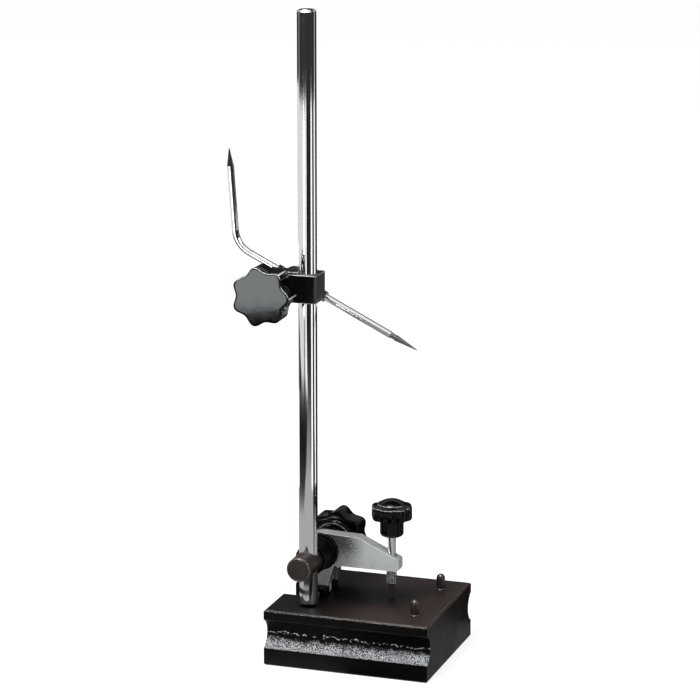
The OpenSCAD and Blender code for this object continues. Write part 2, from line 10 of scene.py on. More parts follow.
import bmesh
import bpy
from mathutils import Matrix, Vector


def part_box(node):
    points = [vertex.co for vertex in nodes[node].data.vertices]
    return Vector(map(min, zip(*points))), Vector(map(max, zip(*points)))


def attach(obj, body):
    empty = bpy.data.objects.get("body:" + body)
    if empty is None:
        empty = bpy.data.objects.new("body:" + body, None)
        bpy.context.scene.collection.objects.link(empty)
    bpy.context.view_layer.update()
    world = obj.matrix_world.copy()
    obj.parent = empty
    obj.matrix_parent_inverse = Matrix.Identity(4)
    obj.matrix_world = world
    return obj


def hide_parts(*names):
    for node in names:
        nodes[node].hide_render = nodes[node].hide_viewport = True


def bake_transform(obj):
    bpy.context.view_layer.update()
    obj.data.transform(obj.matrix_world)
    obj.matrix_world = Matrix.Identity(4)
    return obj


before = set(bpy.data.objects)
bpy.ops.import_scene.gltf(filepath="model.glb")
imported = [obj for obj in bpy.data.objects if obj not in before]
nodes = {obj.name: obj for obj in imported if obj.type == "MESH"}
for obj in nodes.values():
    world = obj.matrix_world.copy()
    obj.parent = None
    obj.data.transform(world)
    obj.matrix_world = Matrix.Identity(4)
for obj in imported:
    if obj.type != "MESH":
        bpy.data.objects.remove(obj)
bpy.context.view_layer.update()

MM = 0.001
print("construction nodes:", len(nodes))

# %% [markdown]
# A finish is a small tree of nodes, and most trees need the same few: a sum, a product, a ramp and a
# mix of two colours. They could be added and joined by hand in the shader editor. Here a class gives
# each a short call, so that every finish later reads as a list of what is on the real surface.

# %% Helpers that add and join nodes
def screen(r, g, b):
    """Linear colour of the 0-255 values that a screen shows."""
    parts = [c / 255 for c in (r, g, b)]
    line = [c / 12.92 if c <= 0.04045 else ((c + 0.055) / 1.055) ** 2.4 for c in parts]
    return (*line, 1.0)


class Nodes:
    """A node tree, with short calls that add nodes and join them."""

    def __init__(self, tree):
        self.tree = tree

    def add(self, kind, **settings):
        node = self.tree.nodes.new(kind)
        for key, value in settings.items():
            setattr(node, key, value)
        return node

    def feed(self, socket, value):
        """Join an output to a socket, or write a plain value on it."""
        if isinstance(value, bpy.types.NodeSocket):
            self.tree.links.new(value, socket)
        else:
            socket.default_value = value

    def calc(self, operation, a, b=0.0):
        node = self.add("ShaderNodeMath", operation=operation)
        self.feed(node.inputs[0], a)
        self.feed(node.inputs[1], b)
        return node.outputs[0]

    def times(self, first, *others):
        for other in others:
            first = self.calc("MULTIPLY", first, other)
        return first

    def between(self, value, low, high, to_low=0.0, to_high=1.0):
        """Value moved from the range low..high to the range to_low..to_high, without overshoot."""
        node = self.add("ShaderNodeMapRange", interpolation_type="SMOOTHSTEP")
        self.feed(node.inputs["Value"], value)
        node.inputs["From Min"].default_value = low
        node.inputs["From Max"].default_value = high
        node.inputs["To Min"].default_value = to_low
        node.inputs["To Max"].default_value = to_high
        return node.outputs["Result"]

    def mix(self, share, a, b):
        """Colour a where share is 0 and colour b where it is 1."""
        node = self.add("ShaderNodeMix", data_type="RGBA")
        self.feed(node.inputs["Factor"], share)
        self.feed(node.inputs[6], a)
        self.feed(node.inputs[7], b)
        return node.outputs[2]

    def axes(self, vector):
        node = self.add("ShaderNodeSeparateXYZ")
        self.feed(node.inputs[0], vector)
        return node.outputs[0], node.outputs[1], node.outputs[2]


print("a screen grey of 128 is", round(screen(128, 128, 128)[0], 3), "of white light")

# %% [markdown]
# A finish also asks where it is on the piece, which way the face looks and how near an edge is.
# Object coordinates move with the piece, so its pattern stays on it when a joint turns. Wear, and the painted
# highlights along edges, could be painted by hand, but they sit on the edges, and the bevel node finds those:
# it gives the normal of a rounded edge, which differs from the true normal only near an edge.

# %% A finish, with its patterns and its edges
EDGE_SAMPLES, EDGE_FROM, EDGE_FULL = 6, 0.995, 0.95


class Finish(Nodes):
    """One procedural material."""

    def __init__(self, name, **sockets):
        self.material = bpy.data.materials.new(name)
        self.material.use_nodes = True
        super().__init__(self.material.node_tree)
        self.shader = self.tree.nodes["Principled BSDF"]
        for socket, value in sockets.items():
            self.set(socket, value)
        self.place = self.add("ShaderNodeTexCoord").outputs["Object"]

    def set(self, name, value):
        """Feed one of the shader's own sockets."""
        spelled = {"specular": "Specular IOR Level", "ior": "IOR", "colour": "Base Color"}
        self.feed(self.shader.inputs[spelled.get(name, name.capitalize())], value)

    def show(self, output):
        """Show another shader than the usual one."""
        self.feed(self.tree.nodes["Material Output"].inputs["Surface"], output)

    def noise(self, grain_mm, detail=3.0, stretch=(1, 1, 1), roughness=0.5):
        """Noise whose patches are about grain_mm across, and longer along an axis of small stretch."""
        mapping = self.add("ShaderNodeMapping")
        self.feed(mapping.inputs["Vector"], self.place)
        mapping.inputs["Scale"].default_value = stretch
        node = self.add("ShaderNodeTexNoise")
        self.feed(node.inputs["Vector"], mapping.outputs["Vector"])
        node.inputs["Scale"].default_value = 1 / (grain_mm * MM)
        node.inputs["Detail"].default_value = detail
        node.inputs["Roughness"].default_value = roughness
        return node.outputs["Fac"]

    def from_axis(self, axis):
        """Distance from an axis that runs along y."""
        x, _, z = self.axes(self.place)
        dx = self.calc("SUBTRACT", x, axis.x)
        dz = self.calc("SUBTRACT", z, axis.z)
        return self.calc("SQRT", self.calc("ADD", self.times(dx, dx), self.times(dz, dz)))

    def facing(self):
        """True normal of the surface in the object's own axes."""
        turn = self.add("ShaderNodeVectorTransform", vector_type="NORMAL", convert_from="WORLD",
                        convert_to="OBJECT")
        self.feed(turn.inputs[0], self.add("ShaderNodeNewGeometry").outputs["True Normal"])
        return self.axes(turn.outputs[0])

    def rounded(self, width_mm):
        """Normal that is rounded over sharp edges."""
        bevel = self.add("ShaderNodeBevel", samples=EDGE_SAMPLES)
        bevel.inputs["Radius"].default_value = width_mm * MM
        return bevel.outputs[0]

    def edges(self, width_mm):
        """1 along sharp edges and 0 on open faces."""
        dot = self.add("ShaderNodeVectorMath", operation="DOT_PRODUCT")
        self.feed(dot.inputs[0], self.rounded(width_mm))
        self.feed(dot.inputs[1], self.add("ShaderNodeNewGeometry").outputs["Normal"])
        return self.between(dot.outputs["Value"], EDGE_FROM, EDGE_FULL)

    def bump(self, height, depth_mm, under=None):
        node = self.add("ShaderNodeBump")
        self.feed(node.inputs["Height"], height)
        node.inputs["Distance"].default_value = depth_mm * MM
        if under is not None:
            self.feed(node.inputs["Normal"], under)
        self.set("normal", node.outputs[0])
        return node.outputs[0]


def dress(finish, *names):
    """Give construction nodes one finish."""
    for name in names:
        slots = nodes[name].data.materials
        slots.clear()
        slots.append(finish.material)
    print(finish.material.name, "on", ", ".join(names))

# %% [markdown]
# The base is a black lacquered block. Its top and bands are machined and smooth, and its grip
# grooves are left rough from the casting. The faces could be split and given a material each. One
# finish does it all instead, because it can tell the grooves by height and by the direction of the
# face, and then the lines between them can be soft and ragged.

# %% Where the base's grooves are
LOWER_BAND, UPPER_BAND = 9 * MM, 5 * MM
GRIP_DEEP, GRIP_SOFT, BAND_SOFT = 10 * MM, 2 * MM, 0.2 * MM
base_low, base_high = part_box("base")
groove_low = base_low.z + LOWER_BAND
groove_high = base_high.z - UPPER_BAND
grip_from = base_high.y - GRIP_DEEP
lacquer = Finish("black_lacquer", metallic=0.0)
base_x, base_y, base_z = lacquer.axes(lacquer.place)
to_x, _, to_z = lacquer.facing()
to_end = lacquer.calc("ABSOLUTE", to_x)
from_middle = lacquer.calc("ABSOLUTE", base_y)
in_groove = lacquer.times(lacquer.between(to_end, 0.6, 0.4),
                          lacquer.between(from_middle, grip_from, grip_from + GRIP_SOFT),
                          lacquer.between(base_z, groove_low - BAND_SOFT, groove_low + BAND_SOFT / 2),
                          lacquer.between(base_z, groove_high + BAND_SOFT, groove_high - BAND_SOFT))
print("groove from", round(groove_low, 4), "to", round(groove_high, 4))

# %% [markdown]
# The half of a groove that faces up is painted as lit: grains painted silver as a sheen, with dark wrinkles
# between them, dense along the lower band and breaking up higher, and a row of painted glints near the line
# where the groove is deepest. Two noises make it. The fine one cuts the silver into grains, and the coarse
# one lifts and lowers the height at which it ends.

# %% The groove's grit, with painted sheen and glints
SHEEN_WHOLE, SHEEN_END, RAGGED_BY = 3.2 * MM, 5.4 * MM, 7 * MM
GLINT_LOW, GLINT_HIGH, GLINT_SOFT = 6.9 * MM, 7.7 * MM, 0.25 * MM
wrinkle = lacquer.noise(0.62, detail=3.0, roughness=0.6)
ragged = lacquer.noise(3.0, detail=5.0, roughness=0.6)
level = lacquer.calc("ADD", base_z, lacquer.times(lacquer.calc("SUBTRACT", ragged, 0.5), RAGGED_BY))
# Painted sheen: the grains of the upward half are painted silver, and a row of glints is painted above them.
grit_sheen = lacquer.times(in_groove, lacquer.between(wrinkle, 0.44, 0.55),
                       lacquer.between(level, groove_low + SHEEN_END, groove_low + SHEEN_WHOLE))
dashes = lacquer.between(lacquer.noise(0.9, detail=3.0, stretch=(0.6, 1, 1.3)), 0.49, 0.54)
glint_low, glint_high = groove_low + GLINT_LOW, groove_low + GLINT_HIGH
painted_glints = lacquer.times(in_groove, dashes, lacquer.between(level, glint_low, glint_low + GLINT_SOFT),
                       lacquer.between(level, glint_high, glint_high - GLINT_SOFT))
grit_sheen_and_glints = lacquer.calc("MAXIMUM", grit_sheen, painted_glints)
print("silver fades out", round(SHEEN_END / MM, 1), "mm above the lower band")

# %% [markdown]
# The top's lacquer is brown, and it is painted black as shade beside the spindle, under the arm and towards
# the left. The long sides are painted darkest, as shade. The ends show faint upright streaks, and the top
# edge is rubbed to bare metal in a thin broken line, which also stands as a painted highlight.

# %% The base's colours
LEFT_SHADE_FULL, LEFT_SHADE_GONE = -30 * MM, 16 * MM
ARM_SHADE_HALF, ARM_SHADE_END, ARM_SHADE_SOFT = 22 * MM, 34 * MM, 18 * MM
WEAR_LIGHT_FROM, WEAR_LIGHT_FULL = 1.5 * MM, 0.6 * MM
cloud = lacquer.noise(24, detail=4.0)
# Painted shade: the top is painted black under the arm, beside the spindle and towards the left.
arm_shade = lacquer.times(lacquer.between(from_middle, ARM_SHADE_HALF, ARM_SHADE_HALF - ARM_SHADE_SOFT),
                          lacquer.between(base_x, ARM_SHADE_END, ARM_SHADE_END - ARM_SHADE_SOFT))
top_unshaded = lacquer.times(lacquer.between(base_x, LEFT_SHADE_FULL, LEFT_SHADE_GONE),
                        lacquer.calc("SUBTRACT", 1.0, arm_shade))
brown = lacquer.mix(cloud, screen(35, 26, 23), screen(48, 37, 34))
top = lacquer.mix(top_unshaded, screen(3, 2, 2), brown)
streak = lacquer.between(lacquer.noise(2.2, detail=4.0, stretch=(1, 1, 0.12)), 0.52, 0.62, 1.0, 0.25)
end = lacquer.mix(lacquer.times(cloud, streak), screen(10, 8, 8), screen(40, 32, 29))
# Painted shade: the long sides are painted darkest; the ends keep their streaked tone.
painted_side_tone = lacquer.mix(lacquer.between(to_end, 0.5, 0.8), screen(6, 5, 5), end)
plain = lacquer.mix(lacquer.between(to_z, 0.6, 0.85), painted_side_tone, top)
coloured = lacquer.mix(in_groove, plain, screen(4, 4, 4))
# Colours of the painted sheen and painted glints of the grit.
sheen_grain = lacquer.mix(lacquer.noise(7, detail=3.0), screen(116, 119, 121), screen(176, 178, 180))
sheen_grain = lacquer.mix(painted_glints, sheen_grain, screen(250, 252, 252))
coloured = lacquer.mix(grit_sheen_and_glints, coloured, sheen_grain)
broken_line = lacquer.between(lacquer.noise(1.1, detail=4.0), 0.47, 0.57, 0.15, 1.0)
near_top = lacquer.between(base_z, base_high.z - WEAR_LIGHT_FROM, base_high.z - WEAR_LIGHT_FULL, 0.1, 1.0)
# Top edge line: wear, and a painted highlight.
wear_and_highlight = lacquer.times(lacquer.edges(0.3), broken_line, near_top)
lacquer.set("colour", lacquer.mix(wear_and_highlight, coloured, screen(170, 164, 156)))
lacquer.set("roughness", lacquer.between(cloud, 0.3, 0.7, 0.36, 0.48))
lacquer.set("metallic", lacquer.times(grit_sheen_and_glints, 0.55))
lacquer.set("specular", lacquer.between(to_z, 0.6, 0.85, 0.12, 0.22))
skin = lacquer.bump(lacquer.noise(0.3, detail=2.0), 0.005, lacquer.rounded(0.35))
lacquer.bump(lacquer.times(lacquer.calc("ADD", wrinkle, ragged), in_groove), 0.35, skin)
dress(lacquer, "base")

# %% [markdown]
# Polished steel is a mirror, so what it shows is the studio. The finish itself only adds what
# grinding, plating and handling leave: hairline rings around the bar, a slow waviness that makes
# reflected lines wander, and a slight change of gloss.

# %% Polished steel
polished = Finish("polished_steel", metallic=1.0)
smear = polished.noise(14, detail=4.0, stretch=(1, 1, 0.35))
wander = polished.noise(7, detail=2.0, stretch=(1, 1, 0.5))
hair = polished.noise(0.12, detail=2.0, stretch=(0.04, 0.04, 1))
polished.set("colour", polished.mix(smear, screen(236, 239, 241), screen(247, 249, 250)))
polished.set("roughness", polished.between(smear, 0.3, 0.7, 0.03, 0.07))
waved = polished.bump(wander, 0.010)
polished.bump(hair, 0.0005, waved)
dress(polished, "spindle", "scriber", "adjusting_screw")

# %% [markdown]
# The scriber's point is hardened steel: bright where it is let into the rod, and blued to a patchy
# grey along its cone. The change follows the x axis. The rod slopes, but x grows steadily along it,
# so that is enough to tell the two apart.

# %% Blued point
BRIGHT_TO, BLUED_FROM = 2.0 * MM, 4.2 * MM
blued = Finish("blued_point", metallic=0.85)
point_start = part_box("scriber_point")[0].x
along = blued.axes(blued.place)[0]
patch = blued.noise(1.2, detail=3.0)
shoulder = blued.between(along, point_start + BLUED_FROM, point_start + BRIGHT_TO)
bare = blued.mix(patch, screen(206, 208, 210), screen(240, 242, 244))
cone = blued.mix(patch, screen(84, 84, 86), screen(150, 151, 153))
blued.set("colour", blued.mix(shoulder, cone, bare))
blued.set("roughness", blued.between(patch, 0.3, 0.7, 0.10, 0.20))
blued.bump(blued.noise(0.15, detail=2.0), 0.003)
dress(blued, "scriber_point")

# %% [markdown]
# The rocker is a plated casting. Its broad face is satin with a soft cloud, it is pitted dark around the hub
# where the snug has turned on it, and its upper edge is milled across. The edges of the front carry a thin
# white line of painted highlight, and those of the milled top a dark line of painted shade.

# %% Satin plate
WORN_EDGE, WORN_HUB = 26 * MM, 13 * MM
ARM_LOW, ARM_HIGH = 46 * MM, 57 * MM


def middle(name):
    """Middle of a construction node's box, which lies on the axis of a round piece."""
    low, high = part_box(name)
    return (low + high) / 2


satin = Finish("satin_plate", metallic=0.35, specular=0.5)
hub_distance = satin.from_axis(middle("swivel_snug"))
arm_z = satin.axes(satin.place)[2]
facing_up = satin.between(satin.facing()[2], 0.25, 0.45)
cloud = satin.noise(9, detail=5.0)
pits = satin.noise(0.7, detail=4.0, roughness=0.7)
worn = satin.times(satin.between(hub_distance, WORN_EDGE, WORN_HUB),
                   satin.between(arm_z, ARM_LOW, ARM_HIGH, 0.35, 1.0))
pit = satin.times(satin.between(satin.calc("ADD", pits, satin.times(worn, 0.15)), 0.60, 0.66), 0.85)
plate = satin.mix(cloud, screen(188, 194, 190), screen(212, 216, 213))
plate = satin.mix(satin.times(worn, 0.75), plate, screen(66, 68, 66))
plate = satin.mix(pit, plate, screen(44, 46, 44))
milled = satin.noise(0.5, detail=3.0, stretch=(1, 0.06, 1))
plate = satin.mix(facing_up, plate, satin.mix(milled, screen(146, 149, 146), screen(216, 219, 216)))
# Painted edge light: a white highlight on the front edges and a dark shade on the edges of the top.
painted_edge_light = satin.mix(facing_up, screen(255, 255, 255), screen(26, 27, 26))
satin.set("colour", satin.mix(satin.edges(0.8), plate, painted_edge_light))
satin.set("roughness", satin.between(cloud, 0.3, 0.7, 0.30, 0.44))
satin.bump(pits, 0.012, satin.rounded(0.4))
dress(satin, "rocker")

# %% [markdown]
# The bolt, the snug, the clamp block and the pins are blackened steel. Oil-blackened steel is a brown-black,
# and it turns silver where an edge is rubbed, in broken lines; these silver lines also stand as painted
# highlights, and the clamp's faces towards x are painted lighter as a reflection. One function makes them
# all, because the pieces differ only in how brown, how glossy and how rubbed they are. The bolt was turned on
# a lathe, so its ends also carry fine rings, a groove and a mark at the centre.

# %% Blackened steel
TURNING_PITCH, FACE_GROOVE_R = 0.9 * MM, 5.0 * MM
GROOVE_EDGE, MARK_EDGE = (0.05 * MM, 0.35 * MM), (0.3 * MM, 0.7 * MM)


def turned_face(finish, axis, tone, skin):
    """Rings, a groove and a centre mark on the ends of a piece that was turned about an axis."""
    radius = finish.from_axis(axis)
    rings = finish.times(finish.calc("SINE", finish.times(radius, 2 * math.pi / TURNING_PITCH)), 0.06)
    off_groove = finish.calc("ABSOLUTE", finish.calc("SUBTRACT", radius, FACE_GROOVE_R))
    cut = finish.times(finish.between(off_groove, *GROOVE_EDGE), finish.between(radius, *MARK_EDGE))
    finish.set("colour", finish.mix(cut, screen(24, 19, 17), tone))
    finish.bump(finish.calc("ADD", rings, cut), 0.2, skin)


def blackened(name, dark, light, gloss, rub_and_highlight, sheer=0.3, gap=0.5, metal=0.25, painted_side_tone=None, axis=None):
    """Blackened steel between two tones. rub_and_highlight is how silver its edges are, as wear and as a
    painted highlight, and gap how broken that line is, painted_side_tone is a tone painted on the faces
    towards x as their reflection, and axis is given for a piece with turned ends."""
    finish = Finish(name, metallic=metal, specular=sheer)
    patch = finish.noise(5, detail=5.0)
    tone = finish.mix(patch, dark, light)
    if painted_side_tone is not None:
        # Painted reflection: the faces towards x take their own tone.
        tone = finish.mix(finish.between(finish.facing()[0], 0.5, 0.8), tone, painted_side_tone)
    gaps = finish.between(finish.noise(1.0, detail=3.0), gap - 0.07, gap + 0.07, 0.1, 1.0)
    # Silver edge lines: wear, and a painted highlight.
    tone = finish.mix(finish.times(finish.edges(0.5), gaps, rub_and_highlight), tone, screen(226, 224, 220))
    finish.set("colour", tone)
    finish.set("roughness", finish.between(patch, 0.3, 0.7, gloss, gloss + 0.12))
    skin = finish.bump(finish.noise(0.2, detail=2.0), 0.004, finish.rounded(0.3))
    if axis is not None:
        turned_face(finish, axis, tone, skin)
    return finish


bolt_black = blackened("brown_black_steel", screen(34, 28, 25), screen(60, 50, 46), 0.32, 0.45,
                       axis=middle("swivel_bolt"))
dress(bolt_black, "swivel_bolt")
pin_black = blackened("pin_black_steel", screen(30, 21, 20), screen(66, 48, 46), 0.08, 0.15, sheer=1.0)
dress(pin_black, "guide_pin_front", "guide_pin_back")
# The faces towards x of the clamp pieces are painted lighter, as a reflection.
deep_black = blackened("black_steel", screen(5, 5, 5), screen(12, 11, 11), 0.3, 1.0, sheer=0.2, gap=0.44,
                       painted_side_tone=screen(72, 69, 66))
dress(deep_black, "clamp_block", "clamp_collar", "clamp_stud", "scriber_holder")
shade_black = blackened("shadow_black_steel", screen(2, 2, 2), screen(5, 5, 5), 0.34, 0.08, sheer=0.05,
                        metal=0.0)
dress(shade_black, "swivel_snug", "swivel_spacer", "rocker_foot")
point_brown = blackened("browned_point", screen(38, 31, 28), screen(58, 48, 43), 0.4, 0.05)
dress(point_brown, "screw_point")
dull_steel = blackened("dull_steel", screen(34, 34, 33), screen(104, 105, 101), 0.35, 0.4)
dress(dull_steel, "stop_lug")

# %% [markdown]
# The plain small parts: turned brass for the inserts inside the star knobs, and bright steel for the
# pivot pin, the dowel and the split rings. They hardly show, but they are seen when the gauge is
# opened up, so they get real finishes too. The spring, made later, takes the same bright steel.

# %% Brass and bright steel
def turned_metal(name, dark, light, grain_mm, gloss, dull, depth_mm):
    """Bare metal with the fine marks of a lathe."""
    finish = Finish(name, metallic=1.0)
    lathe = finish.noise(grain_mm, detail=2.0)
    finish.set("colour", finish.mix(lathe, dark, light))
    finish.set("roughness", finish.between(lathe, 0.3, 0.7, gloss, dull))
    finish.bump(lathe, depth_mm)
    return finish


brass = turned_metal("turned_brass", screen(176, 140, 74), screen(206, 170, 96), 0.2, 0.25, 0.4, 0.004)
dress(brass, "swivel_knob_insert", "clamp_knob_insert")
bright = turned_metal("bright_steel", screen(150, 152, 154), screen(186, 188, 190), 0.15, 0.25, 0.38, 0.003)
dress(bright, "pivot_pin", "foot_dowel", "return_spring", "guide_ring_front", "guide_ring_back")

# %% [markdown]
# Knobs of this kind are pressed from black thermoset. The surface is dense and very glossy, with a faint
# orange peel. The rims that face up and the crests of the clamp knob's lobes carry a thin grey line, a
# painted highlight. A rim is found by its direction. A crest is found by the angle round the knob's axis from
# the first crest: the sine of half the lobes times that angle is 0 on each crest.

# %% Black thermoset
STAR_LOBES, CLAMP_TURN = 7, 51
RIM_LIGHT_FULL, RIM_LIGHT_FAINT = -30 * MM, -20 * MM
SEAT_RIM, SEAT_SOFT, CREST_SOFT = 0.8 * MM, 1.0 * MM, 2.0 * MM
clamp_axis = middle("clamp_knob_insert")
clamp_seat, swivel_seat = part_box("clamp_knob")[1].y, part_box("swivel_knob")[0].y
plastic = Finish("black_thermoset", metallic=0.0, ior=1.5, specular=0.25)
dust = plastic.noise(6, detail=5.0)
knob_x, knob_y, knob_z = plastic.axes(plastic.place)
_, to_y, to_z = plastic.facing()
to_front = plastic.calc("ABSOLUTE", to_y)
# Painted highlight lines on the upward rims of the knobs and on the clamp knob's crests.
painted_rim_highlight = plastic.times(plastic.between(to_front, 0.25, 0.45), plastic.between(to_front, 0.97, 0.92),
                    plastic.between(to_z, 0.12, 0.35), plastic.between(to_z, 0.82, 0.72),
                    plastic.between(knob_y, swivel_seat + SEAT_RIM + SEAT_SOFT, swivel_seat + SEAT_RIM),
                    plastic.between(knob_y, RIM_LIGHT_FULL, RIM_LIGHT_FAINT, 1.0, 0.4))
spoke = plastic.calc("ARCTAN2", plastic.calc("SUBTRACT", knob_z, clamp_axis.z),
                     plastic.calc("SUBTRACT", knob_x, clamp_axis.x))
from_crest = plastic.calc("SUBTRACT", spoke, math.radians(CLAMP_TURN))
off_crest = plastic.calc("ABSOLUTE", plastic.calc("SINE", plastic.times(from_crest, STAR_LOBES / 2)))
painted_crest_highlight = plastic.times(plastic.between(off_crest, 0.12, 0.06), plastic.between(to_front, 0.5, 0.3),
                      plastic.between(knob_y, clamp_seat + CREST_SOFT, clamp_seat))
highlight_gaps = plastic.between(plastic.noise(1.4, detail=3.0), 0.35, 0.55, 0.35, 1.0)
wear_and_highlight = plastic.times(plastic.calc("MAXIMUM", painted_rim_highlight, painted_crest_highlight), highlight_gaps)
black = plastic.mix(dust, screen(3, 3, 3), screen(8, 8, 8))
plastic.set("colour", plastic.mix(wear_and_highlight, black, screen(214, 216, 214)))
plastic.set("roughness", plastic.between(dust, 0.3, 0.7, 0.05, 0.09))
plastic.bump(plastic.noise(1.6, detail=3.0), 0.006)
print("clamp knob axis at x", round(clamp_axis.x, 4), "and z", round(clamp_axis.z, 4))

# %% [markdown]
# A knob could be cut from a disc with booleans, but then its rims stay sharp and its shading breaks
# up. A lobed knob is better seen as a ring of points that is pulled in between the lobes, repeated
# at many heights. Built so, its sides, its rounded rim and its slightly domed face are one smooth
# skin, and the highlights run round the lobes as they do on a moulding.

# %% Helpers for lobed and turned shapes
COLUMNS = 196


def lobed(valley_r, tip_r, lobes, share):
    """Radius of a lobed outline at an angle from the crest of a lobe."""
    return lambda angle: valley_r + (tip_r - valley_r) * ((1 + math.cos(lobes * angle)) / 2) ** share


def ring(radius_at, height, inset=0.0, columns=COLUMNS):
    """Points of an outline, moved in along its own normals, at a height or a height for each radius."""
    points = []
    for i in range(columns):
        angle = 2 * math.pi * i / columns
        r = radius_at(angle)
        slope = (radius_at(angle + 1e-4) - radius_at(angle - 1e-4)) / 2e-4
        along_r = Vector((math.cos(angle), math.sin(angle), 0))
        along_t = Vector((-math.sin(angle), math.cos(angle), 0))
        point = along_r * r - (along_r * r - along_t * slope).normalized() * inset
        point.z = height(point.length) if callable(height) else height
        points.append(point)
    return points


def circle(radius, height, columns=COLUMNS):
    return ring(lambda angle: radius, height, columns=columns)


print("an outline has", COLUMNS, "points")

# %% [markdown]
# Rows of points become a mesh when each is joined to the next by a belt of faces, and a row of a
# single point closes an end. The new piece rides on the body of the construction node that it
# replaces, so it follows the joints as that node did.

# %% A skin over rows of points
SHARP_FROM = math.radians(38)


def skinned(name, rows, place, finish, body, replaced):
    """Closed skin over rows of points in mm, each put in its place. Body None leaves the piece on no body."""
    points, first = [], []
    for row in rows:
        first.append(len(points))
        points += [place(*p) for p in row]
    faces = []
    for low_row, high_row, a, b in zip(rows, rows[1:], first, first[1:]):
        count = max(len(low_row), len(high_row))
        for i in range(count):
            j = (i + 1) % count
            corners = [a + i * (len(low_row) > 1), a + j * (len(low_row) > 1),
                       b + j * (len(high_row) > 1), b + i * (len(high_row) > 1)]
            faces.append(list(dict.fromkeys(corners)))
    mesh = bpy.data.meshes.new(name)
    mesh.from_pydata([p * MM for p in points], [], faces)
    shape = bmesh.new()
    shape.from_mesh(mesh)
    bmesh.ops.recalc_face_normals(shape, faces=shape.faces)
    shape.to_mesh(mesh)
    shape.free()
    mesh.shade_smooth()
    mesh.set_sharp_from_angle(angle=SHARP_FROM)
    mesh.materials.append(finish.material)
    piece = bpy.data.objects.new(name, mesh)
    bpy.context.scene.collection.objects.link(piece)
    if body is not None:
        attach(piece, body)
    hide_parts(replaced)
    print(name, "has", len(faces), "faces")
    return piece


print("edges sharper than", round(math.degrees(SHARP_FROM)), "degrees stay sharp")

# %% [markdown]
# Both star knobs are the same moulding on inserts of two sizes: a round hub, a skirt that rises
# slightly towards the tips, seven lobes, a tight round over the rim and a face that is domed by
# about a tenth of a millimetre. So one function gives the rows, and each knob has only its own bore,
# place and turn.

# %% Star knobs
STAR_TIP, STAR_VALLEY, STAR_SHARE, STAR_DRAFT = 14.9, 12.5, 1.1, 0.25
STAR_DEEP, STAR_DOME, STAR_RIM, RIM_STEPS = 16.0, 0.12, 0.5, 6
STAR_HUB, SKIRT_LOW, SKIRT_RISE = 9.5, 3.0, 0.5
BORE_GAP, BORE_EDGE, SWIVEL_TURN = 0.05, 0.3, -85
HUB_OUTLINE = [(-0.5, 0), (-0.15, 0.15), (0, 0.5), (0, 2.8), (0.3, 3.2)]
SKIRT_ROUND = [(0, 0.7), (0.15, 0.25), (0.6, 0)]
FACE_SHARES = (0.94, 0.84, 0.7, 0.52, 0.32, 0.14)


def star_rows(bore_r, bore_deep):
    """Rows of a star knob from its bore, over the hub and the lobes, to the middle of its face."""
    rows = [[Vector((0, 0, bore_deep))], circle(bore_r, bore_deep), circle(bore_r, BORE_EDGE),
            circle(bore_r + BORE_EDGE, 0)]
    rows += [circle(STAR_HUB + out, up) for out, up in HUB_OUTLINE]
    tip_low = STAR_TIP - STAR_DRAFT
    back = lobed(STAR_VALLEY, tip_low, STAR_LOBES, STAR_SHARE)
    front = lobed(STAR_VALLEY, STAR_TIP, STAR_LOBES, STAR_SHARE)
    edge = lobed(STAR_VALLEY - STAR_RIM, STAR_TIP - STAR_RIM, STAR_LOBES, STAR_SHARE)

    def skirt(radius):
        return SKIRT_LOW + SKIRT_RISE * (radius - STAR_HUB) / (tip_low - STAR_HUB)

    def face(radius):
        return STAR_DEEP - STAR_DOME * (radius / STAR_TIP) ** 2

    rows += [ring(back, lambda r: skirt(r) + up, inset) for up, inset in SKIRT_ROUND]
    for step in range(RIM_STEPS + 1):
        turn = math.radians(90 * step / RIM_STEPS)
        sunk = STAR_RIM * (1 - math.sin(turn))
        rows.append(ring(front, lambda r: face(r) - sunk, STAR_RIM * (1 - math.cos(turn))))
    rows += [ring(lambda angle: edge(angle) * share, face) for share in FACE_SHARES]
    rows.append([Vector((0, 0, STAR_DEEP))])
    return rows


def star_knob(name, replaced, insert, axis, seat_y, towards, turn, body):
    """Lay a star knob on its cross axis, with its wide face towards -1, the front, or 1, the back."""
    insert_low, insert_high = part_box(insert)
    bore_r = (insert_high.x - axis.x) / MM + BORE_GAP
    bore_deep = (insert_high.y - insert_low.y) / MM + BORE_GAP
    spin = math.radians(turn)

    def place(x, y, z):
        across = x * math.cos(spin) - y * math.sin(spin)
        up = x * math.sin(spin) + y * math.cos(spin)
        return Vector((axis.x / MM + across, seat_y / MM + towards * z, axis.z / MM - towards * up))

    skinned(name, star_rows(bore_r, bore_deep), place, plastic, body, replaced)


star_knob("clamp_star_knob", "clamp_knob", "clamp_knob_insert", clamp_axis, clamp_seat, -1, CLAMP_TURN,
          "clamp_nut")
star_knob("swivel_star_knob", "swivel_knob", "swivel_knob_insert", middle("swivel_spacer"), swivel_seat, 1,
          SWIVEL_TURN, "swivel_nut")

# %% [markdown]
# The fine screw has a small knob with a long hub. Its grip is a short lobed drum with a flat ring
# and a low dome on top. The same rows make it: hub, underside, drum, rounded rim, ring and dome.

